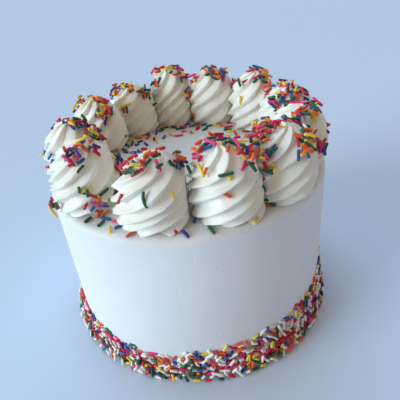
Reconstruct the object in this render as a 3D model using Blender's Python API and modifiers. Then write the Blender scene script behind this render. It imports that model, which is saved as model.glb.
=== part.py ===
"""A small celebration cake: a smooth iced drum, a ring of twelve hand piped swirls on its rim,
a band of sugar strands round its foot and more strands lying on the top and on the swirls.
Metres, +Z up. The flat underside lies on z = 0, centred on the origin, and the front is -Y."""
import math
import random

import bmesh
import bpy
from mathutils import Matrix, Vector
from mathutils.bvhtree import BVHTree

for old in list(bpy.data.objects):
    bpy.data.objects.remove(old, do_unlink=True)

# Main sizes of the iced drum
TOP_RADIUS = 0.0770
FOOT_RADIUS = 0.0778
HEIGHT = 0.0900
EDGE = 0.0030
GAP = 0.0004

# Size of one sugar strand
STRAND_LENGTH = 0.0058
STRAND_THICK = 0.0016

cake = bpy.data.collections.new("celebration_cake")
bpy.context.scene.collection.children.link(cake)
loose = bpy.data.collections.new("strands_to_fuse")
bpy.context.scene.collection.children.link(loose)


def material(name, colour, roughness):
    made = bpy.data.materials.new(name)
    made.use_nodes = True
    shader = made.node_tree.nodes["Principled BSDF"]
    shader.inputs["Base Color"].default_value = (*colour, 1.0)
    shader.inputs["Roughness"].default_value = roughness
    return made


icing = material("white_icing", (0.90, 0.89, 0.86), 0.45)


def mesh_object(name, shape, collection):
    data = bpy.data.meshes.new(name)
    shape.to_mesh(data)
    shape.free()
    made = bpy.data.objects.new(name, data)
    collection.objects.link(made)
    return made


def apply_modifiers(thing):
    bpy.context.view_layer.update()
    graph = bpy.context.evaluated_depsgraph_get()
    data = bpy.data.meshes.new_from_object(thing.evaluated_get(graph))
    thing.modifiers.clear()
    thing.data = data


# One sugar strand: a six sided rod with blunt pointed ends, laid on a surface
def strand(place, normal, turn, length):
    shape = bmesh.new()
    bmesh.ops.create_cone(shape, cap_ends=True, cap_tris=True, segments=6,
                          radius1=STRAND_THICK / 2, radius2=STRAND_THICK / 2,
                          depth=length - STRAND_THICK * 0.6)
    for vertex in shape.verts:
        if len(vertex.link_faces) == 6:
            vertex.co.z += math.copysign(STRAND_THICK * 0.3, vertex.co.z)
    side = normal.cross(Vector((0.0, 0.0, 1.0)))
    if side.length < 0.05:
        side = Vector((1.0, 0.0, 0.0))
    side.normalize()
    along = Matrix.Rotation(turn, 3, normal) @ side
    across = normal.cross(along)
    frame = Matrix((across, normal, along)).transposed().to_4x4()
    frame.translation = place
    bmesh.ops.transform(shape, matrix=frame, verts=shape.verts)
    return shape


def fuse(body, strands):
    for number, shape in enumerate(strands):
        mesh_object(f"strand_{number}", shape, loose)
    union = body.modifiers.new("strands", "BOOLEAN")
    union.operation = "UNION"
    union.operand_type = "COLLECTION"
    union.collection = loose
    union.solver = "EXACT"
    apply_modifiers(body)
    for used in list(loose.objects):
        bpy.data.objects.remove(used, do_unlink=True)
    for weld in (0.00003, 0.00001, 0.000003, 0.0):
        shape = bmesh.new()
        shape.from_mesh(body.data)
        keep_largest(shape)
        if weld:
            bmesh.ops.remove_doubles(shape, verts=shape.verts, dist=weld)
        bmesh.ops.triangulate(shape, faces=shape.faces)
        keep_largest(shape)
        if not weld or sound(shape):
            break
        shape.free()
    print(body.name, "welded at", weld)
    shape.to_mesh(body.data)
    shape.free()


# True where a mesh is closed and none of its faces cross
def sound(shape):
    if any(len(edge.link_faces) != 2 for edge in shape.edges):
        return False
    shape.faces.ensure_lookup_table()
    tree = BVHTree.FromBMesh(shape)
    for first, second in tree.overlap(tree):
        corners = set(shape.faces[first].verts)
        if first < second and not corners & set(shape.faces[second].verts):
            return False
    return True


# Drops the loose scraps and shut hollows that fusing may leave: faces joined by edges stay together
def keep_largest(shape):
    waiting = set(shape.faces)
    pieces = []
    while waiting:
        start = waiting.pop()
        piece = [start]
        queue = [start]
        while queue:
            face = queue.pop()
            for edge in face.edges:
                for other in edge.link_faces:
                    if other in waiting:
                        waiting.remove(other)
                        piece.append(other)
                        queue.append(other)
        pieces.append(piece)
    pieces.sort(key=len)
    for piece in pieces[:-1]:
        bmesh.ops.delete(shape, geom=piece, context="FACES")


# The twelve swirls, counterclockwise from the front left of the front pair.
# Each: angle round the cake, distance from its axis, radius, height, lean to +X, lean to +Y (mm),
# bluntness of its dome, turns that its ridges make
SWIRLS = (
    (-107, 58.0, 18.6, 31.0, 3.5, -1.0, 2.6, 0.62),
    (-75, 58.8, 17.6, 33.0, 0.0, -0.5, 2.1, 0.66),
    (-48, 62.2, 17.6, 31.5, 2.2, 2.0, 2.6, 0.6),
    (-21, 59.5, 16.8, 31.5, 3.0, -1.5, 2.6, 0.58),
    (4, 58.8, 17.0, 32.5, 1.0, -0.5, 2.8, 0.55),
    (36, 58.5, 16.4, 33.5, 0.0, 0.0, 2.3, 0.52),
    (67, 58.3, 17.2, 33.5, 0.5, 0.0, 3.0, 0.46),
    (95, 58.4, 16.4, 36.0, 1.0, 0.0, 3.0, 0.5),
    (122, 58.2, 16.8, 31.0, 0.5, -0.5, 3.0, 0.54),
    (151, 58.2, 17.2, 33.0, -1.0, -1.0, 2.0, 0.46),
    (188, 59.6, 18.2, 33.0, -0.5, 0.0, 2.0, 0.48),
    (216, 61.6, 17.8, 31.0, 1.2, 2.8, 2.6, 0.62),
)
RIDGES = 8
RIDGE_DEPTH = 0.0032


def centre(number):
    angle, distance = SWIRLS[number % 12][:2]
    return Vector((math.cos(math.radians(angle)), math.sin(math.radians(angle)))) * distance * 0.001


# Half planes halfway to each neighbour keep the swirls apart
def walls(number):
    own = centre(number)
    planes = []
    for other in (number - 1, number + 1):
        across = centre(other) - own
        planes.append((across.normalized(), across.length / 2.0 - GAP / 2.0))
    return planes


# Share of the full radius at a share of the height: widest low down, then a blunt dome
def outline(number, share):
    if share < 0.24:
        return 1.0 - 0.14 * ((0.24 - share) / 0.24) ** 2
    rise = (share - 0.24) / 0.76
    return max(0.06, (1.0 - rise ** SWIRLS[number][6]) ** 0.55)


# Way of a place counted in ridges round a swirl, some ridges being wider than others
def ridge_way(number, place):
    even = place * 2.0 * math.pi / RIDGES
    return even + (0.16 * math.sin(even + number) + 0.06 * math.sin(3.0 * even + 2.0 * number))


def surface(number, share, turn, ridge):
    radius, height, lean_x, lean_y = SWIRLS[number][2:6]
    middle = centre(number)
    bend = share ** 2 * 0.001
    middle = middle + Vector((lean_x, lean_y)) * bend
    full = outline(number, share)
    reach = radius * 0.001 * full - RIDGE_DEPTH * (1.0 - ridge) * full ** 0.5
    direction = Vector((math.cos(turn), math.sin(turn)))
    for normal, limit in walls(number):
        facing = direction.dot(normal)
        start = (middle - centre(number)).dot(normal)
        if facing > 0.05:
            reach = min(reach, (limit - start) / facing)
    flat = middle + direction * reach
    return Vector((flat.x, flat.y, HEIGHT + GAP + share * height * 0.001))


SHARES = (0.0, 0.12, 0.25, 0.38, 0.51, 0.63, 0.74, 0.84, 0.92, 0.975)
STEPS = ((0.0, 0.0), (0.36, 1.0))


def swirl(number):
    shape = bmesh.new()
    start = number * 1.7
    twist = SWIRLS[number][7] * 2.0 * math.pi
    rings = []
    for share in SHARES:
        ring = []
        for ridge in range(RIDGES):
            for step, crest in STEPS:
                turn = start + twist * share ** 0.85 - ridge_way(number, ridge + step)
                ring.append(shape.verts.new(surface(number, share, turn, crest)))
        rings.append(ring)
    count = len(rings[0])
    for low, high in zip(rings, rings[1:]):
        for i in range(count):
            j = (i + 1) % count
            shape.faces.new((low[i], high[i], high[j], low[j]))
    base = centre(number)
    foot = shape.verts.new((base.x, base.y, HEIGHT + GAP))
    peak = shape.verts.new(surface(number, 1.0, 0.0, 1.0) - Vector((0.001, 0.0, 0.0)))
    for i in range(count):
        j = (i + 1) % count
        shape.faces.new((foot, rings[0][i], rings[0][j]))
        shape.faces.new((peak, rings[-1][j], rings[-1][i]))
    bmesh.ops.triangulate(shape, faces=shape.faces)
    bmesh.ops.recalc_face_normals(shape, faces=shape.faces)
    return shape


# Strands on a swirl: most round its peak, a few on its sides, clear of the swirls beside it
def swirl_strands(number, wanted):
    draw = random.Random(100 + number)
    placed = []
    shapes = []
    for attempt in range(400):
        if len(shapes) == wanted:
            break
        share = 0.56 + 0.38 * draw.random() if attempt % 4 else 0.18 + 0.36 * draw.random()
        turn = draw.uniform(0.0, 2.0 * math.pi)
        place = surface(number, share, turn, 0.8)
        up = surface(number, share + 0.04, turn, 0.8) - place
        side = surface(number, share, turn + 0.08, 0.8) - place
        normal = side.cross(up).normalized()
        length = STRAND_LENGTH * draw.uniform(0.9, 1.15)
        shape = strand(place + normal * 0.0003, normal, draw.uniform(0.0, math.pi), length)
        base = centre(number)
        clear = True
        for vertex in shape.verts:
            flat = vertex.co.xy - base
            if vertex.co.z < HEIGHT + 0.002:
                clear = False
            for wall, limit in walls(number):
                if flat.dot(wall) > limit - 0.0003:
                    clear = False
        if any((place - other).length < 0.0062 for other in placed):
            clear = False
        if clear:
            placed.append(place)
            shapes.append(shape)
        else:
            shape.free()
    return shapes


# The drum: one turned outline from the middle of the top down to the middle of the underside.
# Its lowest part is knobbly with the packed band of strands.
TURNS = 96
BAND = (0.0215, 0.0170, 0.0125, 0.0080, 0.0035, 0.0)
SPREAD = (0.0007, 0.0018, 0.0026, 0.0036, 0.0047, 0.0058)


# How far the packed band stands out from the wall at a level above the underside
def spread_at(level):
    for (high, thin), (low, thick) in zip(zip(BAND, SPREAD), zip(BAND[1:], SPREAD[1:])):
        if level >= low:
            share = min(1.0, (level - low) / (high - low))
            return thick + (thin - thick) * share
    return SPREAD[-1]


# The band is heaped higher on the front right of the cake than on its left
def band_rise(turn):
    return 0.725 + 0.43 * max(0.0, math.cos(turn + 0.55)) ** 2


# It lies thinner against the right side of the cake than elsewhere
def band_depth(turn):
    return 1.0 - 0.5 * max(0.0, math.cos(turn - 0.35)) ** 2


def drum():
    shape = bmesh.new()
    points = [(0.0, HEIGHT), (TOP_RADIUS - EDGE, HEIGHT)]
    points.append((TOP_RADIUS - EDGE * 0.3, HEIGHT - EDGE * 0.3))
    points.append((TOP_RADIUS, HEIGHT - EDGE))
    points.append((FOOT_RADIUS - 0.0002, BAND[0] + 0.0070))
    for level, spread in zip(BAND, SPREAD):
        points.append((FOOT_RADIUS + spread, level))
    points.append((0.0, 0.0))
    chain = [shape.verts.new((x, 0.0, z)) for x, z in points]
    for first, second in zip(chain, chain[1:]):
        shape.edges.new((first, second))
    body = mesh_object("cake_body", shape, cake)
    screw = body.modifiers.new("turn", "SCREW")
    screw.steps = TURNS
    screw.render_steps = TURNS
    screw.use_merge_vertices = True
    screw.merge_threshold = 0.0001
    apply_modifiers(body)
    draw = random.Random(7)
    shape = bmesh.new()
    shape.from_mesh(body.data)
    bmesh.ops.triangulate(shape, faces=[f for f in shape.faces if len(f.verts) > 4])
    for vertex in shape.verts:
        outward = Vector((vertex.co.x, vertex.co.y, 0.0))
        if vertex.co.z < BAND[0] + 0.001 and outward.length > 0.07:
            at_top = vertex.co.z > BAND[0] - 0.001
            bump = draw.uniform(-0.0005, 0.0005) if at_top else draw.uniform(-0.0007, 0.0007)
            way = math.atan2(outward.y, outward.x)
            thinner = (outward.length - FOOT_RADIUS) * (1.0 - band_depth(way))
            vertex.co += outward.normalized() * (bump - thinner)
            if 0.001 < vertex.co.z:
                vertex.co.z *= band_rise(way)
                ragged = 0.0016 if at_top else 0.0010
                vertex.co.z += draw.uniform(-ragged, ragged)
    bmesh.ops.recalc_face_normals(shape, faces=shape.faces)
    bmesh.ops.triangulate(shape, faces=shape.faces)
    shape.to_mesh(body.data)
    shape.free()
    return body


# Strands in the band round the foot, spread evenly by two steps that never fall in line
def foot_strands(wanted):
    draw = random.Random(21)
    shapes = []
    for number in range(wanted):
        turn = ((number * 0.7549) % 1.0) * 2.0 * math.pi
        level = 0.0014 + 0.0196 * ((number * 0.5698) % 1.0) ** 1.1
        outward = Vector((math.cos(turn), math.sin(turn), 0.0))
        place = outward * (FOOT_RADIUS + spread_at(level) * band_depth(turn) + 0.0005)
        place.z = max(0.0014, level * band_rise(turn))
        slope = (spread_at(level - 0.001) - spread_at(level + 0.001)) / 0.002
        normal = (outward + Vector((0.0, 0.0, slope))).normalized()
        angle = draw.uniform(-0.9, 0.9) if level < 0.006 else draw.uniform(0.0, math.pi)
        angle = angle * 0.25 if level < 0.0045 else angle
        shape = strand(place, normal, angle, STRAND_LENGTH * draw.uniform(0.9, 1.15))
        lowest = min(vertex.co.z for vertex in shape.verts)
        if lowest < 0.0004:
            bmesh.ops.translate(shape, vec=(0.0, 0.0, 0.0004 - lowest), verts=shape.verts)
        shapes.append(shape)
    return shapes


# Strands on the flat top, mostly in a ring just inside the swirls, and a few out on the ledge
def top_strands(wanted):
    draw = random.Random(34)
    shapes = []
    placed = []
    for attempt in range(900):
        if len(shapes) == wanted:
            break
        turn = draw.uniform(0.0, 2.0 * math.pi)
        distance = 0.034 + 0.009 * draw.random() if attempt % 3 else 0.060 + 0.012 * draw.random()
        place = Vector((math.cos(turn) * distance, math.sin(turn) * distance, HEIGHT + 0.0004))
        clear = all((place - other).length > 0.0075 for other in placed)
        for number, entry in enumerate(SWIRLS):
            if (place.xy - centre(number)).length < entry[2] * 0.001 + 0.0034:
                clear = False
        if not clear:
            continue
        placed.append(place)
        shapes.append(strand(place, Vector((0.0, 0.0, 1.0)), draw.uniform(0.0, math.pi),
                             STRAND_LENGTH * draw.uniform(0.9, 1.15)))
    return shapes


body = drum()
fuse(body, foot_strands(76) + top_strands(24))
things = [body]
for number in range(12):
    piece = mesh_object(f"swirl_{number + 1:02d}", swirl(number), cake)
    fuse(piece, swirl_strands(number, 10))
    things.append(piece)
for thing in things:
    thing.data.materials.clear()
    thing.data.materials.append(icing)
    for face in thing.data.polygons:
        face.use_smooth = False
        face.material_index = 0
bpy.data.collections.remove(loose)
total = 0
for thing in things:
    total += len(thing.data.polygons)
    print(thing.name, len(thing.data.polygons))
print("triangles in all", total)
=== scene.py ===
"""A small iced celebration cake: a smooth drum, twelve piped swirls and coloured sugar strands."""
import math
import random
from collections import namedtuple
from itertools import product

import bpy
import numpy as np
from mathutils import Matrix, Vector, noise


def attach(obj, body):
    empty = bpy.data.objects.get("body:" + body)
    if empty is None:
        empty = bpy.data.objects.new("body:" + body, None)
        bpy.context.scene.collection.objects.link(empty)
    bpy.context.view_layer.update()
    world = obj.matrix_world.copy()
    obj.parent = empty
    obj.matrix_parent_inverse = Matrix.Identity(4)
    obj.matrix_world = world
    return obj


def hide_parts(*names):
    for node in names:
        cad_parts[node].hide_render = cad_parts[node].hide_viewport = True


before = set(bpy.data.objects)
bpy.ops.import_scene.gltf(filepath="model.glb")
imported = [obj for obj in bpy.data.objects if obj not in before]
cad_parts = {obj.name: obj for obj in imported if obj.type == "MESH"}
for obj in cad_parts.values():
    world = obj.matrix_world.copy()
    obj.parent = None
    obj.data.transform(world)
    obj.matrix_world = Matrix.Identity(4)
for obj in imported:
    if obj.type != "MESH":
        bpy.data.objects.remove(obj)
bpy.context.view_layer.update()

# Camera: a phone held close above the front of the cake, looking down at the middle of its
# side and turned a little to the left.
CAKE_MIDDLE = 0.045
CAMERA_DISTANCE = 0.2430
LOOK_DOWN = math.radians(36.34)
AIM_UP = math.radians(5.36)
AIM_SIDE = math.radians(-1.44)
ROLL = math.radians(-6.81)
SENSOR_WIDTH = 36.0
PICTURE_WIDTH = 400.0
FOCAL_PIXELS = 375.0
lens = bpy.data.cameras.new("camera")
lens.sensor_width = SENSOR_WIDTH
lens.lens = FOCAL_PIXELS / PICTURE_WIDTH * SENSOR_WIDTH
lens.shift_x = 0.053
lens.shift_y = -0.0415
lens.clip_start = 0.01
camera = bpy.data.objects.new("camera", lens)
bpy.context.scene.collection.objects.link(camera)
ahead = Vector((0.0, math.cos(LOOK_DOWN), -math.sin(LOOK_DOWN)))
right = Vector((1.0, 0.0, 0.0))
above = right.cross(ahead)
panned = ahead * math.cos(AIM_SIDE) + right * math.sin(AIM_SIDE)
right = right * math.cos(AIM_SIDE) - ahead * math.sin(AIM_SIDE)
view = panned * math.cos(AIM_UP) + above * math.sin(AIM_UP)
above = above * math.cos(AIM_UP) - panned * math.sin(AIM_UP)
camera_right = right * math.cos(ROLL) + above * math.sin(ROLL)
camera_up = above * math.cos(ROLL) - right * math.sin(ROLL)
camera.matrix_world = Matrix((camera_right, camera_up, -view)).transposed().to_4x4()
camera.location = -ahead * CAMERA_DISTANCE + Vector((0.0, 0.0, CAKE_MIDDLE))
bpy.context.scene.camera = camera

# Cake drum: cake under smooth white buttercream, spread with a long scraper while the cake
# turns, so that its side is nearly true and its top edge is softly rounded.
TOP_RADIUS = 0.0770
FOOT_RADIUS = 0.0778
HEIGHT = 0.0900
EDGE = 0.0032
FOOT_INSET = 0.0004
FOOT_RISE = 0.0005
WALL_WAVE = 0.00035
TOP_WAVE = 0.00025
RIM_WAVE = 0.0003
DRUM_COLUMNS = 240
UNDER_STEPS = 8
WALL_STEPS = 40
EDGE_STEPS = 8
TOP_STEPS = 24
FULL_TURN = 2.0 * math.pi


def new_material(name):
    made = bpy.data.materials.new(name)
    made.use_nodes = True
    nodes = made.node_tree.nodes
    return made, nodes, made.node_tree.links, nodes["Principled BSDF"]


def noise_node(nodes, links, place, scale, detail, stretch=(1.0, 1.0, 1.0)):
    mapping = nodes.new("ShaderNodeMapping")
    mapping.inputs["Scale"].default_value = stretch
    links.new(place.outputs["Object"], mapping.inputs["Vector"])
    made = nodes.new("ShaderNodeTexNoise")
    made.inputs["Scale"].default_value = scale
    made.inputs["Detail"].default_value = detail
    links.new(mapping.outputs["Vector"], made.inputs["Vector"])
    return made


def bump_node(nodes, links, source, depth, before=None):
    made = nodes.new("ShaderNodeBump")
    made.inputs["Strength"].default_value = 1.0
    made.inputs["Distance"].default_value = depth
    links.new(source, made.inputs["Height"])
    if before is not None:
        links.new(before, made.inputs["Normal"])
    return made.outputs["Normal"]


def ramp_node(nodes, links, source, low, high, low_colour, high_colour):
    made = nodes.new("ShaderNodeValToRGB")
    made.color_ramp.elements[0].position = low
    made.color_ramp.elements[0].color = (*low_colour, 1.0)
    made.color_ramp.elements[1].position = high
    made.color_ramp.elements[1].color = (*high_colour, 1.0)
    links.new(source, made.inputs["Fac"])
    return made.outputs["Color"]


# Smooth icing: faint streaks up the side, scrapes round it, grain and a few tiny pits
def smooth_icing():
    made, nodes, links, shader = new_material("smooth_buttercream")
    place = nodes.new("ShaderNodeTexCoord")
    cloud = noise_node(nodes, links, place, 22.0, 3.0)
    tone = ramp_node(nodes, links, cloud.outputs["Fac"], 0.3, 0.7,
                     (0.79, 0.80, 0.82), (0.85, 0.85, 0.86))
    links.new(tone, shader.inputs["Base Color"])
    streaks = noise_node(nodes, links, place, 120.0, 4.0, (1.0, 1.0, 0.22))
    normal = bump_node(nodes, links, streaks.outputs["Fac"], 0.00015)
    scrapes = noise_node(nodes, links, place, 90.0, 4.0, (0.25, 0.25, 5.0))
    normal = bump_node(nodes, links, scrapes.outputs["Fac"], 0.00012, normal)
    grain = noise_node(nodes, links, place, 1100.0, 3.0)
    normal = bump_node(nodes, links, grain.outputs["Fac"], 0.00008, normal)
    pits = noise_node(nodes, links, place, 420.0, 1.0, (1.0, 1.0, 0.7))
    dents = ramp_node(nodes, links, pits.outputs["Fac"], 0.20, 0.33, (0, 0, 0), (1, 1, 1))
    normal = bump_node(nodes, links, dents, 0.00006, normal)
    links.new(normal, shader.inputs["Normal"])
    shader.inputs["Roughness"].default_value = 0.55
    shader.inputs["Specular IOR Level"].default_value = 0.35
    shader.inputs["Subsurface Weight"].default_value = 0.25
    shader.inputs["Subsurface Radius"].default_value = (0.004, 0.003, 0.0025)
    shader.inputs["Subsurface Scale"].default_value = 1.0
    return made


def mesh_piece(name, points, faces, finish):
    data = bpy.data.meshes.new(name)
    data.from_pydata([tuple(point) for point in points], [], faces)
    data.validate()
    data.polygons.foreach_set("use_smooth", [True] * len(data.polygons))
    data.materials.append(finish)
    data.update()
    made = bpy.data.objects.new(name, data)
    bpy.context.scene.collection.objects.link(made)
    return made


# Faces between rows of points that each go once round a shape
def turned_grid(rows, columns):
    faces = []
    for row in range(rows - 1):
        for column in range(columns):
            after = (column + 1) % columns
            low = row * columns
            high = low + columns
            faces.append((low + column, low + after, high + after, high + column))
    return faces


# Radius and level of each ring of the drum, from the middle of its foot to the middle of its top
def drum_outline():
    outline = [(0.0, 0.0)]
    for step in range(1, UNDER_STEPS):
        outline.append((FOOT_RADIUS * step / UNDER_STEPS, 0.0))
    outline.append((FOOT_RADIUS - FOOT_INSET, 0.0))
    for step in range(WALL_STEPS + 1):
        share = step / WALL_STEPS
        radius = FOOT_RADIUS + (TOP_RADIUS - FOOT_RADIUS) * share
        outline.append((radius, FOOT_RISE + (HEIGHT - EDGE - FOOT_RISE) * share))
    for step in range(1, EDGE_STEPS + 1):
        bend = math.pi / 2.0 * step / EDGE_STEPS
        radius = TOP_RADIUS - EDGE + EDGE * math.cos(bend)
        outline.append((radius, HEIGHT - EDGE + EDGE * math.sin(bend)))
    for step in range(1, TOP_STEPS + 1):
        outline.append(((TOP_RADIUS - EDGE) * (1.0 - step / TOP_STEPS), HEIGHT))
    return outline


def drum():
    outline = drum_outline()
    points = []
    for radius, level in outline[1:-1]:
        for column in range(DRUM_COLUMNS):
            turn = FULL_TURN * column / DRUM_COLUMNS
            spot = Vector((math.cos(turn), math.sin(turn), 0.0))
            uneven = noise.noise(spot * 1.7 + Vector((0.0, 0.0, level * 22.0)))
            uneven += 0.35 * noise.noise(spot * 5.0 + Vector((3.0, 0.0, level * 90.0)))
            outer = min(1.0, radius / TOP_RADIUS) ** 6
            lift = 0.0
            if level > HEIGHT - EDGE:
                lift = TOP_WAVE * noise.noise(spot * radius * 60.0) * min(1.0, radius * 40.0)
            if level > HEIGHT - 2.5 * EDGE:
                lift += RIM_WAVE * noise.noise(spot * 4.0) * outer
            reach = radius
            if level > 0.0:
                reach += outer * WALL_WAVE * uneven
            points.append((spot.x * reach, spot.y * reach, level + lift))
    faces = turned_grid(len(outline) - 2, DRUM_COLUMNS)
    points.append((0.0, 0.0, 0.0))
    points.append((0.0, 0.0, HEIGHT))
    last = (len(outline) - 3) * DRUM_COLUMNS
    for column in range(DRUM_COLUMNS):
        after = (column + 1) % DRUM_COLUMNS
        faces.append((after, column, len(points) - 2))
        faces.append((last + column, last + after, len(points) - 1))
    return mesh_piece("iced_drum", points, faces, smooth_icing())


iced_drum = drum()
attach(iced_drum, "root")
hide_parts("cake_body")

# Piped swirls: white buttercream pressed through a star nozzle in a rising turn, each a little
# different, standing shoulder to shoulder round the rim with its sharp ridges winding to a peak.
MILLIMETRE = 0.001
# Angles are in degrees and lengths in mm. dome is how blunt the top is, turns how far round the
# ridges wind, tip_way where the tip points, and tail_way where the tail points, from outward.
Swirl = namedtuple("Swirl", "angle distance radius height lean_x lean_y dome turns tip_way tail_way")
SWIRLS = (
    Swirl(-107, 58.0, 18.6, 31.0, 3.5, -1.0, 2.6, 0.62, 20, 40),
    Swirl(-75, 58.8, 17.6, 33.0, 0.0, -0.5, 2.1, 0.66, 200, 0),
    Swirl(-48, 62.2, 17.6, 31.5, 2.2, 2.0, 2.6, 0.6, 350, 20),
    Swirl(-21, 59.5, 16.8, 31.5, 3.0, -1.5, 2.6, 0.58, 20, 30),
    Swirl(4, 58.8, 17.0, 32.5, 1.0, -0.5, 2.8, 0.55, 90, -10),
    Swirl(36, 58.5, 16.4, 33.5, 0.0, 0.0, 2.3, 0.52, 10, 20),
    Swirl(67, 58.3, 17.2, 33.5, 0.5, 0.0, 3.0, 0.46, 120, 10),
    Swirl(95, 58.4, 16.4, 36.0, 1.0, 0.0, 3.0, 0.5, 170, -20),
    Swirl(122, 58.2, 16.8, 31.0, 0.5, -0.5, 3.0, 0.54, 200, 30),
    Swirl(151, 58.2, 17.2, 33.0, -1.0, -1.0, 2.0, 0.46, 300, 0),
    Swirl(188, 59.6, 18.2, 33.0, -0.5, 0.0, 2.0, 0.48, 330, 20),
    Swirl(216, 61.6, 17.8, 31.0, 1.2, 2.8, 2.6, 0.62, 40, 50),
)
RIDGES = 8
RIDGE_DEPTH = 0.0037
CREST = 0.36
SMOOTH_CREST = 0.8
SWIRL_GAP = 0.0002
SINK = 0.0002
TIP_RISE = 0.0006
TIP_POINT = 0.0002
BELLY = 0.24
FOOT_DRAWN_IN = 0.14
THINNEST = 0.03
TAIL_LENGTH = 0.0034
TAIL_WIDTH = 0.16
TAIL_HEIGHT = 0.17
HOOK_LENGTH = 0.0022
HOOK_START = 0.90
SURFACE_WAVE = 0.0006
RAGGED_EDGE = 0.0005
STEPS_UP_TO_CREST = 5
STEPS_DOWN_FROM_CREST = 7


def swirl_centre(number):
    swirl = SWIRLS[number % len(SWIRLS)]
    turn = math.radians(swirl.angle)
    return Vector((math.cos(turn), math.sin(turn))) * swirl.distance * MILLIMETRE


# Upright planes halfway to each neighbour, where two swirls press flat against each other
def swirl_walls(number):
    own = swirl_centre(number)
    planes = []
    for other in (number - 1, number + 1):
        across = swirl_centre(other) - own
        planes.append((across.normalized(), across.length / 2.0 - SWIRL_GAP / 2.0))
    return planes


# Width of a swirl at a share of its height: drawn in a little at the foot and domed to its peak
def swirl_outline(number, share):
    if share < BELLY:
        return 1.0 - FOOT_DRAWN_IN * ((BELLY - share) / BELLY) ** 2
    rise = (share - BELLY) / (1.0 - BELLY)
    return max(THINNEST, (1.0 - rise ** SWIRLS[number].dome) ** 0.55)


# Height of a ridge across its width: sharp at its crest and in the grooves beside it
def ridge_shape(across):
    across %= 1.0
    if across < CREST:
        return (across / CREST) ** 1.15
    return max(0.0, (1.0 - across) / (1.0 - CREST)) ** 1.1


# Where the ridges stand at a height, as the rope of icing winds up unevenly
def swirl_phase(number, share):
    wander = noise.noise(Vector((number * 7.0, share * 3.0, 0.4))) * 0.30
    return number * 1.7 + SWIRLS[number].turns * FULL_TURN * share ** 0.85 + wander


# Way of a place counted in ridges round a swirl, some ridges being wider than others
def ridge_way(number, place):
    even = place * FULL_TURN / RIDGES
    return even + 0.16 * math.sin(even + number) + 0.06 * math.sin(3.0 * even + 2.0 * number)


# The other way about: the place in ridges of a way, closed in on step by step
def ridge_place(number, way):
    place = way * RIDGES / FULL_TURN
    for attempt in range(6):
        place += (way - ridge_way(number, place)) * RIDGES / FULL_TURN
    return place


# The rope of icing starts in a small pointed tail, at the foot of one ridge
def tail_reach(number, share, turn):
    wanted = math.radians(SWIRLS[number].angle + SWIRLS[number].tail_way)
    start = swirl_phase(number, 0.0)
    ridge = math.floor(ridge_place(number, start - wanted)) + CREST
    way = swirl_phase(number, share) - ridge_way(number, ridge)
    off = (turn - way + math.pi) % FULL_TURN - math.pi
    return TAIL_LENGTH * math.exp(-(off / TAIL_WIDTH) ** 2) * max(0.0, 1.0 - share / TAIL_HEIGHT)


# Point of a swirl's surface, or of the plain dome that runs just inside its crests
def swirl_point(number, share, turn, smooth=False):
    swirl = SWIRLS[number]
    own = swirl_centre(number)
    tip_turn = math.radians(swirl.tip_way)
    hook = max(0.0, (share - HOOK_START) / (1.0 - HOOK_START)) ** 2 * HOOK_LENGTH
    middle = own + Vector((swirl.lean_x, swirl.lean_y)) * share ** 2 * MILLIMETRE
    middle += Vector((math.cos(tip_turn), math.sin(tip_turn))) * hook
    full = swirl_outline(number, share)
    across = ridge_place(number, swirl_phase(number, share) - turn) + 1e-6
    bold = Vector((math.cos(turn) * 1.5, math.sin(turn) * 1.5, number * 5.0))
    depth = RIDGE_DEPTH * (1.0 + 0.25 * noise.noise(bold))
    crest = SMOOTH_CREST if smooth else ridge_shape(across)
    reach = swirl.radius * MILLIMETRE * full - depth * (1.0 - crest) * full ** 0.5
    direction = Vector((math.cos(turn), math.sin(turn)))
    if not smooth:
        spot = Vector((direction.x, direction.y, share * 2.0)) * 2.2
        spot += Vector((number * 9.0, 0.0, 0.0))
        reach += SURFACE_WAVE * noise.noise(spot) * full
        spot = Vector((direction.x * 14.0, direction.y * 14.0, share * 30.0 + number))
        reach += RAGGED_EDGE * noise.noise(spot) * crest ** 3 * full
        reach += tail_reach(number, share, turn)
    for normal, limit in swirl_walls(number):
        facing = direction.dot(normal)
        if facing > 0.05:
            reach = min(reach, (limit - (middle - own).dot(normal)) / facing)
    flat = middle + direction * max(reach, TIP_POINT)
    level = HEIGHT - SINK + share * (swirl.height * MILLIMETRE + TIP_RISE)
    return Vector((flat.x, flat.y, level))


# Piped icing: a shade creamier and glossier than the smooth icing, drawn out along its ridges
def piped_icing():
    made, nodes, links, shader = new_material("piped_buttercream")
    place = nodes.new("ShaderNodeTexCoord")
    cloud = noise_node(nodes, links, place, 60.0, 3.0)
    tone = ramp_node(nodes, links, cloud.outputs["Fac"], 0.3, 0.7,
                     (0.92, 0.895, 0.785), (0.955, 0.925, 0.875))
    links.new(tone, shader.inputs["Base Color"])
    drag = noise_node(nodes, links, place, 420.0, 3.0, (1.0, 1.0, 2.5))
    normal = bump_node(nodes, links, drag.outputs["Fac"], 0.00010)
    grain = noise_node(nodes, links, place, 1500.0, 2.0)
    normal = bump_node(nodes, links, grain.outputs["Fac"], 0.00004, normal)
    links.new(normal, shader.inputs["Normal"])
    shader.inputs["Roughness"].default_value = 0.42
    shader.inputs["Specular IOR Level"].default_value = 0.5
    shader.inputs["Subsurface Weight"].default_value = 0.28
    shader.inputs["Subsurface Radius"].default_value = (0.0028, 0.0026, 0.0014)
    shader.inputs["Subsurface Scale"].default_value = 1.0
    return made


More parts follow.
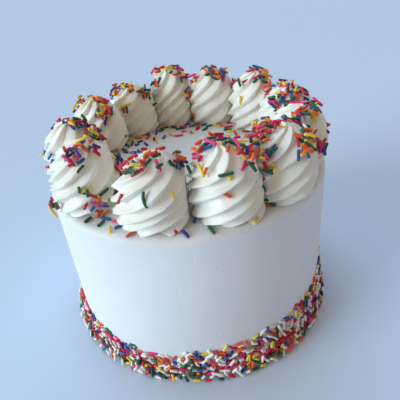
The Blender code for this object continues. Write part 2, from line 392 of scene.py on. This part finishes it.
def piped_swirl(number, finish):
    rows = 64
    steps = [CREST * step / STEPS_UP_TO_CREST for step in range(STEPS_UP_TO_CREST)]
    steps += [CREST + (1.0 - CREST) * step / STEPS_DOWN_FROM_CREST
              for step in range(STEPS_DOWN_FROM_CREST)]
    columns = RIDGES * len(steps)
    points = []
    for row in range(rows):
        share = 1.0 - (1.0 - row / (rows - 1.0)) ** 1.25
        phase = swirl_phase(number, share)
        for ridge in range(RIDGES):
            for step in steps:
                turn = phase - ridge_way(number, ridge + step)
                points.append(swirl_point(number, share, turn))
    faces = [face[::-1] for face in turned_grid(rows, columns)]
    base = swirl_centre(number)
    points.append((base.x, base.y, HEIGHT - SINK))
    last = (rows - 1) * columns
    summit = sum(points[last:last + columns], Vector((0.0, 0.0, 0.0))) / columns
    points.append(summit + Vector((0.0, 0.0, TIP_POINT)))
    for column in range(columns):
        after = (column + 1) % columns
        faces.append((column, after, len(points) - 2))
        faces.append((last + after, last + column, len(points) - 1))
    return mesh_piece(f"piped_swirl_{number + 1:02d}", points, faces, finish)


swirl_finish = piped_icing()
for number in range(len(SWIRLS)):
    piece = piped_swirl(number, swirl_finish)
    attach(piece, "root")
    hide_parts(f"swirl_{number + 1:02d}")

# Sugar strands: short rods of coloured sugar with rounded ends, some of them bent, strewn by hand
# over the swirls and the top and pressed in a thick band against the foot of the cake.
STRAND_LENGTH = 0.0058
STRAND_THICK = 0.00146
# The most bent strand goes aside by this much times the square of the way from its middle
STRAND_BEND = 90.0
SIDES = 8
LOWEST = 0.0002
UP = Vector((0.0, 0.0, 1.0))
# Shortest, longest and commonest length, as shares of the strand length
STREWN_STRETCH = (0.45, 1.35, 0.72)
BAND_STRETCH = (0.40, 1.05, 0.64)
# Each: colour name, colour, share of it among the strewn strands, share of it in the band
STRAND_COLOURS = (
    ("red", (0.58, 0.010, 0.028), 14, 11),
    ("pink", (0.76, 0.020, 0.175), 13, 17),
    ("orange", (0.88, 0.135, 0.018), 18, 9),
    ("yellow", (0.90, 0.640, 0.045), 17, 11),
    ("green", (0.008, 0.100, 0.036), 19, 12),
    ("blue", (0.010, 0.110, 0.360), 9, 7),
    ("purple", (0.050, 0.014, 0.230), 8, 4),
    ("white", (0.94, 0.92, 0.86), 5, 41),
)
COLOUR_NAMES = [name for name, colour, strewn, banded in STRAND_COLOURS]
STREWN_WEIGHTS = [strewn for name, colour, strewn, banded in STRAND_COLOURS]
BAND_WEIGHTS = [banded for name, colour, strewn, banded in STRAND_COLOURS]
strands = {name: [] for name in COLOUR_NAMES}
draw = random.Random(5)


# One rod along its own Z: rings that round off both ends
def strand_template():
    half = STRAND_LENGTH / 2.0
    thick = STRAND_THICK / 2.0
    rings = [(-half + thick * 0.08, 0.40), (-half + thick * 0.45, 0.84), (-half + thick, 1.0)]
    rings += [(-half * 0.3, 1.0), (half * 0.3, 1.0)]
    rings += [(half - thick, 1.0), (half - thick * 0.45, 0.84), (half - thick * 0.08, 0.40)]
    points = []
    for along, wide in rings:
        for side in range(SIDES):
            turn = FULL_TURN * side / SIDES
            points.append((math.cos(turn) * wide * thick, math.sin(turn) * wide * thick, along))
    faces = turned_grid(len(rings), SIDES)
    faces.append(tuple(range(SIDES))[::-1])
    last = (len(rings) - 1) * SIDES
    faces.append(tuple(range(last, last + SIDES)))
    return np.array(points), faces


rod_points, rod_faces = strand_template()


# Way along a surface at an angle from level
def strand_way(normal, turn):
    side = normal.cross(UP)
    if side.length < 0.05:
        side = Vector((1.0, 0.0, 0.0))
    return Matrix.Rotation(turn, 3, normal) @ side.normalized()


def lay_strand(place, normal, turn, tilt, in_band=False):
    along = strand_way(normal, turn)
    along = (along * math.cos(tilt) + normal * math.sin(tilt)).normalized()
    across = normal.cross(along).normalized()
    out = along.cross(across)
    stretch = draw.triangular(*(BAND_STRETCH if in_band else STREWN_STRETCH))
    thick = draw.uniform(0.92, 1.08)
    bend = draw.uniform(-1.0, 1.0) ** 3 * STRAND_BEND
    points = rod_points * np.array((thick, thick, stretch))
    points[:, 0] += bend * points[:, 2] ** 2
    axes = np.array((tuple(across), tuple(out), tuple(along)))
    points = points @ axes + np.array(tuple(place))
    points[:, 2] += max(0.0, LOWEST - points[:, 2].min())
    weights = BAND_WEIGHTS if in_band else STREWN_WEIGHTS
    strands[draw.choices(COLOUR_NAMES, weights)[0]].append(points)


# Keeps the strands of one layer from crossing: centre lines stay a thickness apart
class Layer:
    CELL = 0.006

    def __init__(self):
        self.cells = {}

    def fits(self, place, along, half, apart):
        spots = [place + along * half * step for step in (-1.0, -0.5, 0.0, 0.5, 1.0)]
        cell = tuple(math.floor(value / self.CELL) for value in place)
        for shift in product((-1, 0, 1), repeat=3):
            near = self.cells.get(tuple(map(sum, zip(cell, shift))), ())
            for others in near:
                for spot, other in product(spots, others):
                    if (spot - other).length_squared < apart * apart:
                        return False
        self.cells.setdefault(cell, []).append(spots)
        return True


# Band of strands round the foot, laid layer on layer from the icing out, each lower than the last.
# Each layer: share of the band's height, strands that are tried
BAND_LAYERS = ((1.0, 6500), (0.88, 4600), (0.50, 2400), (0.26, 1200), (0.12, 600))
BAND_HEIGHT = 0.0148
BAND_RISE = 0.0092
BAND_RAGGED = 0.0038
BAND_FOOT = 0.0008
FIRST_DEPTH = 0.0004
LAYER_DEPTH = 0.00118
HIGHEST_WAY = -0.55
THINNEST_WAY = 0.35
THINNED = 0.5
# Slope of the pile's face in its first and its last layer
LEANS = (0.15, 0.40)
# Spread of the ways that strands lie and of their tilts, in radians, the tilts growing by layer
BAND_WAYS = 0.85
FIRST_TILT = 0.07
MORE_TILT = 0.05


# Height of the band at an angle round the cake: ragged, and highest on the front right
def band_height(turn):
    right_side = max(0.0, math.cos(turn - HIGHEST_WAY))
    ragged = noise.noise(Vector((math.cos(turn), math.sin(turn), 0.0)) * 6.0)
    ragged += 0.6 * noise.noise(Vector((math.cos(turn), math.sin(turn), 0.5)) * 17.0)
    return BAND_HEIGHT + BAND_RISE * right_side ** 2 + BAND_RAGGED * ragged


def lay_band():
    for depth, (share, tries) in enumerate(BAND_LAYERS):
        layer = Layer()
        for attempt in range(tries):
            turn = draw.uniform(0.0, FULL_TURN)
            top = band_height(turn) * share
            level = BAND_FOOT + (top - BAND_FOOT) * draw.random() ** 1.15
            outward = Vector((math.cos(turn), math.sin(turn), 0.0))
            radius = FOOT_RADIUS + (TOP_RADIUS - FOOT_RADIUS) * level / HEIGHT
            thin = 1.0 - THINNED * max(0.0, math.cos(turn - THINNEST_WAY)) ** 2
            reach = radius + FIRST_DEPTH + LAYER_DEPTH * depth * thin
            place = outward * reach + Vector((0.0, 0.0, level))
            lean = LEANS[0] + (LEANS[1] - LEANS[0]) * depth / (len(BAND_LAYERS) - 1)
            normal = (outward + Vector((0.0, 0.0, lean))).normalized()
            angle = draw.gauss(0.0, BAND_WAYS)
            along = strand_way(normal, angle)
            low = abs(along.z) * STRAND_LENGTH * 0.45 + STRAND_THICK * 0.62
            if level < low:
                place.z = low
            if layer.fits(place, along, STRAND_LENGTH * 0.26, STRAND_THICK * 0.82):
                tilt = draw.gauss(0.0, FIRST_TILT + MORE_TILT * depth)
                lay_strand(place, normal, angle, tilt, in_band=True)


# Strands on the flat top: thick against the inside of the swirls, thin towards the middle, and
# a few on the ledge outside, where most lie in the gap at the front left
TOP_TRIES = 2600
INNER_EDGE = 0.027
OUTER_EDGE = 0.074
LEDGE = 0.060
LEDGE_CHANCE = 0.22
UNDER_SWIRL = 0.0020
# Ways round the cake, in degrees: where the strands reach further in, and the gap on the ledge
FURTHER_IN = (100.0, 235.0)
LEDGE_GAP = (226.0, 243.0)
FADE = 0.0042
LONG_FADE = 0.0065
TOP_TILTS = (-0.05, 0.10)


# Chance that a strand lies at a distance from the middle, given how near the next swirl is
def top_chance(distance, nearest, way):
    if distance < LEDGE:
        fade = LONG_FADE if FURTHER_IN[0] < way < FURTHER_IN[1] else FADE
        return math.exp(-max(0.0, nearest) / fade)
    if LEDGE_GAP[0] < way < LEDGE_GAP[1]:
        return 1.0
    return LEDGE_CHANCE


def lay_top():
    layer = Layer()
    for attempt in range(TOP_TRIES):
        turn = draw.uniform(0.0, FULL_TURN)
        distance = INNER_EDGE + (OUTER_EDGE - INNER_EDGE) * draw.random()
        flat = Vector((math.cos(turn), math.sin(turn))) * distance
        nearest = min((flat - swirl_centre(number)).length - swirl.radius * MILLIMETRE
                      for number, swirl in enumerate(SWIRLS))
        if nearest < -UNDER_SWIRL:
            continue
        if draw.random() > top_chance(distance, nearest, math.degrees(turn)):
            continue
        place = Vector((flat.x, flat.y, HEIGHT + STRAND_THICK * 0.42))
        angle = draw.uniform(0.0, math.pi)
        if layer.fits(place, strand_way(UP, angle), STRAND_LENGTH * 0.42, STRAND_THICK * 0.9):
            lay_strand(place, UP, angle, draw.uniform(*TOP_TILTS))


# Heaps on the swirls, in steps of 15 degrees and a twentieth of the height. Each swirl's row
# holds for each heap: way that it faces, share of the height, strands, spread (mm)
TIGHT = 1.4
CLOSE = 2.1
WIDE = 3.4
HEAPS = (
    ((225, 0.95, 18, CLOSE), (195, 0.90, 4, TIGHT), (285, 0.95, 3, TIGHT), (345, 0.85, 11, CLOSE),
     (135, 0.85, 8, WIDE), (225, 0.55, 1, TIGHT), (270, 0.60, 1, TIGHT), (300, 0.60, 1, TIGHT)),
    ((180, 0.95, 14, CLOSE), (90, 0.85, 14, CLOSE), (0, 0.95, 3, TIGHT), (315, 0.90, 12, TIGHT),
     (315, 0.80, 7, TIGHT), (195, 0.85, 4, TIGHT), (225, 0.75, 2, TIGHT), (270, 0.70, 2, TIGHT),
     (270, 0.50, 1, TIGHT)),
    ((195, 0.95, 24, CLOSE), (135, 0.90, 20, CLOSE), (60, 0.85, 20, CLOSE), (330, 0.85, 13, CLOSE),
     (195, 0.80, 6, TIGHT), (225, 0.75, 13, CLOSE), (300, 0.75, 15, CLOSE), (195, 0.70, 5, TIGHT),
     (240, 0.55, 7, CLOSE), (240, 0.10, 1, TIGHT)),
    ((255, 0.90, 16, CLOSE), (315, 0.95, 10, TIGHT), (300, 0.90, 10, TIGHT), (255, 0.80, 9, TIGHT),
     (300, 0.40, 14, CLOSE), (0, 0.50, 8, WIDE), (90, 0.85, 14, WIDE)),
    ((150, 0.95, 18, CLOSE), (270, 0.95, 14, CLOSE), (300, 0.90, 17, CLOSE), (240, 0.90, 5, TIGHT),
     (225, 0.80, 8, TIGHT), (255, 0.80, 6, TIGHT), (240, 0.65, 4, CLOSE), (60, 0.85, 14, WIDE)),
    ((60, 0.95, 20, CLOSE), (330, 0.90, 12, CLOSE), (285, 0.90, 4, TIGHT), (210, 0.85, 3, TIGHT),
     (120, 0.85, 6, WIDE), (270, 0.40, 1, TIGHT)),
    ((270, 0.95, 18, CLOSE), (315, 0.90, 26, CLOSE), (195, 0.85, 8, TIGHT), (330, 0.70, 9, TIGHT),
     (90, 0.85, 8, WIDE)),
    ((165, 0.95, 10, CLOSE), (15, 0.95, 14, CLOSE), (330, 0.85, 16, CLOSE), (225, 0.80, 6, TIGHT),
     (315, 0.60, 3, TIGHT), (105, 0.85, 6, WIDE)),
    ((180, 0.90, 18, CLOSE), (285, 0.95, 12, CLOSE), (330, 0.85, 16, CLOSE), (255, 0.65, 5, TIGHT),
     (105, 0.80, 8, WIDE)),
    ((195, 0.90, 10, CLOSE), (330, 0.90, 13, CLOSE), (315, 0.70, 16, CLOSE), (285, 0.70, 5, TIGHT),
     (105, 0.85, 6, WIDE)),
    ((315, 0.95, 18, CLOSE), (345, 0.85, 42, CLOSE), (0, 0.70, 18, CLOSE), (120, 0.90, 8, WIDE),
     (210, 0.50, 6, WIDE)),
    ((270, 0.95, 9, CLOSE), (270, 0.85, 13, CLOSE), (330, 0.90, 4, TIGHT), (30, 0.95, 6, TIGHT),
     (285, 0.75, 1, TIGHT), (15, 0.60, 9, CLOSE), (0, 0.50, 12, CLOSE), (285, 0.45, 6, CLOSE),
     (345, 0.35, 18, CLOSE), (300, 0.25, 12, WIDE), (210, 0.15, 8, CLOSE)),
)
HEAP_LAYERS = 4
HEAP_TOP = 0.0016
HEAP_TILTS = (-0.20, 0.40)
SMALL_RISE = 0.03
SMALL_TURN = 0.06
SINGLES = 3
FIRST_WITH_SINGLES = 2


# A strand on a swirl lies on its icing, or on the strands that are there already
def lay_on_swirl(layers, number, share, turn):
    place = swirl_point(number, share, turn)
    step = swirl_point(number, min(1.0, share + SMALL_RISE), turn, smooth=True)
    base = swirl_point(number, share, turn, smooth=True)
    aside = swirl_point(number, share, turn + SMALL_TURN, smooth=True)
    normal = (aside - base).cross(step - base).normalized()
    place = place.lerp(base, 0.5) + normal * STRAND_THICK * 0.25
    angle = draw.uniform(0.0, math.pi)
    along = strand_way(normal, angle)
    summit = HEIGHT + SWIRLS[number].height * MILLIMETRE + HEAP_TOP
    for layer in layers:
        if place.z > summit:
            return
        if layer.fits(place, along, STRAND_LENGTH * 0.42, STRAND_THICK * 0.8):
            tilt = draw.uniform(*HEAP_TILTS) if share > 0.5 else 0.0
            lay_strand(place, normal, angle, tilt)
            return
        place = place + normal * STRAND_THICK * 0.8


def lay_on_swirls():
    layers = [Layer() for layer in range(HEAP_LAYERS)]
    for number, heaps in enumerate(HEAPS):
        swirl = SWIRLS[number]
        for facing, middle, wanted, spread in heaps:
            for strand in range(wanted):
                share = middle + draw.gauss(0.0, 0.8) * spread / swirl.height
                share = min(0.985, max(0.08, share))
                width = swirl.radius * swirl_outline(number, share)
                around = draw.gauss(0.0, 1.0) * spread / width
                lay_on_swirl(layers, number, share, math.radians(facing) + around)
    for number in range(FIRST_WITH_SINGLES, len(SWIRLS)):
        for strand in range(SINGLES):
            share = draw.uniform(0.12, 0.85)
            lay_on_swirl(layers[:1], number, share, draw.uniform(0.0, FULL_TURN))


lay_band()
lay_top()
lay_on_swirls()


# Sugar: hard and half glossy, its colour slightly mottled
def sugar(name, colour):
    made, nodes, links, shader = new_material(f"sugar_{name}")
    place = nodes.new("ShaderNodeTexCoord")
    mottle = noise_node(nodes, links, place, 500.0, 2.0)
    dark = tuple(value * 0.88 for value in colour)
    light = tuple(min(1.0, value * 1.12 + 0.01) for value in colour)
    tone = ramp_node(nodes, links, mottle.outputs["Fac"], 0.3, 0.7, dark, light)
    links.new(tone, shader.inputs["Base Color"])
    grain = noise_node(nodes, links, place, 3000.0, 2.0)
    links.new(bump_node(nodes, links, grain.outputs["Fac"], 0.00004), shader.inputs["Normal"])
    shader.inputs["Roughness"].default_value = 0.38
    shader.inputs["Specular IOR Level"].default_value = 0.45
    return made


for name, colour, strewn, banded in STRAND_COLOURS:
    points = np.concatenate(strands[name])
    faces = []
    for number in range(len(strands[name])):
        first = number * len(rod_points)
        faces.extend(tuple(first + corner for corner in face) for face in rod_faces)
    piece = mesh_piece(f"strands_{name}", points, faces, sugar(name, colour))
    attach(piece, "root")

# Floor: a plain pale sheet that the cake stands on, flat, matt and faintly blue, and far wider
# than the view.
FLOOR_REACH = 20.0
floor_finish, nodes, links, shader = new_material("pale_floor")
shader.inputs["Base Color"].default_value = (0.66, 0.79, 1.0, 1.0)
shader.inputs["Roughness"].default_value = 0.8
corners = ((-1.0, -1.0), (1.0, -1.0), (1.0, 1.0), (-1.0, 1.0))
points = [(x * FLOOR_REACH, y * FLOOR_REACH, 0.0) for x, y in corners]
floor = mesh_piece("floor", points, [(0, 1, 2, 3)], floor_finish)


# Light: cool soft daylight from a window low on the left, the same daylight thrown back down by
# the pale walls behind, and the warmer light of the room all round, pale at eye level where its
# walls are.
def soft_daylight(name, energy, colour, spread, coming_from):
    lamp = bpy.data.lights.new(name, "SUN")
    lamp.energy = energy
    lamp.color = colour
    lamp.angle = math.radians(spread)
    placed = bpy.data.objects.new(name, lamp)
    placed.rotation_euler = (-Vector(coming_from)).to_track_quat("-Z", "Y").to_euler()
    bpy.context.scene.collection.objects.link(placed)


def room_light():
    room = bpy.data.worlds.new("room")
    room.use_nodes = True
    nodes = room.node_tree.nodes
    links = room.node_tree.links
    way = nodes.new("ShaderNodeTexCoord")
    split = nodes.new("ShaderNodeSeparateXYZ")
    links.new(way.outputs["Generated"], split.inputs["Vector"])
    level = nodes.new("ShaderNodeMath")
    level.operation = "ABSOLUTE"
    links.new(split.outputs["Z"], level.inputs[0])
    tone = ramp_node(nodes, links, level.outputs["Value"], 0.20, 0.36,
                     (0.97, 0.95, 0.91), (0.98, 0.725, 0.465))
    links.new(tone, nodes["Background"].inputs["Color"])
    nodes["Background"].inputs["Strength"].default_value = 0.335
    return room


soft_daylight("window", 3.0, (0.71, 0.90, 1.0), 36.0, (-1.0, -0.35, 0.26))
soft_daylight("walls_behind", 1.38, (0.46, 0.72, 1.0), 60.0, (-0.1, 0.6, 1.0))
bpy.context.scene.world = room_light()
bpy.context.scene.view_settings.view_transform = "Standard"
